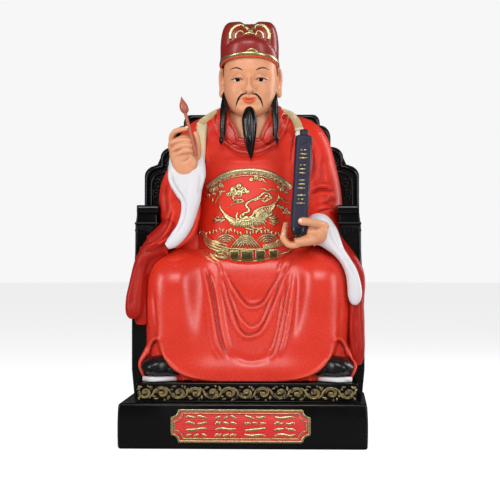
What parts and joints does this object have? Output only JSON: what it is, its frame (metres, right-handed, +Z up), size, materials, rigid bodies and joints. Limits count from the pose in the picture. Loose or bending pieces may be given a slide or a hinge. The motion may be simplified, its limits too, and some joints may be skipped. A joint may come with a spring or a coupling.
{
  "type": "resin deity statue",
  "caption": "Painted resin statue of a bearded official in a red robe, seated on a black throne and plinth, holding a writing brush and a scroll.",
  "frame": {"origin": "middle of the plinth's underside, on the surface that it stands on", "axes": "+Z up, -Y towards the front of the figure, +X to the right seen from the front"},
  "size_m": [0.2409, 0.16, 0.4205],
  "materials": {
    "black_lacquer": "glossy black lacquer over cast resin, gold rubbed on raised carving",
    "name_plate": "red paint inside a pale gold rim",
    "painted_robe": "satin vermilion paint over cast resin, with skin, white, black and gold parts",
    "skin": "satin flesh-coloured paint",
    "black_hair": "satin black paint",
    "white_cuff": "satin white paint",
    "gold_paint": "pale gold paint with darker hollows",
    "cap_red": "glossy dark maroon paint",
    "brush_copper": "satin copper-red paint",
    "scroll_navy": "satin navy paint with gold strokes"
  },
  "bodies": {
    "root": {"plinth": "black_lacquer", "name_plate": "name_plate", "throne": "black_lacquer", "figure": "painted_robe", "brush": "brush_copper", "scroll": "scroll_navy"}
  },
  "joints": []
}
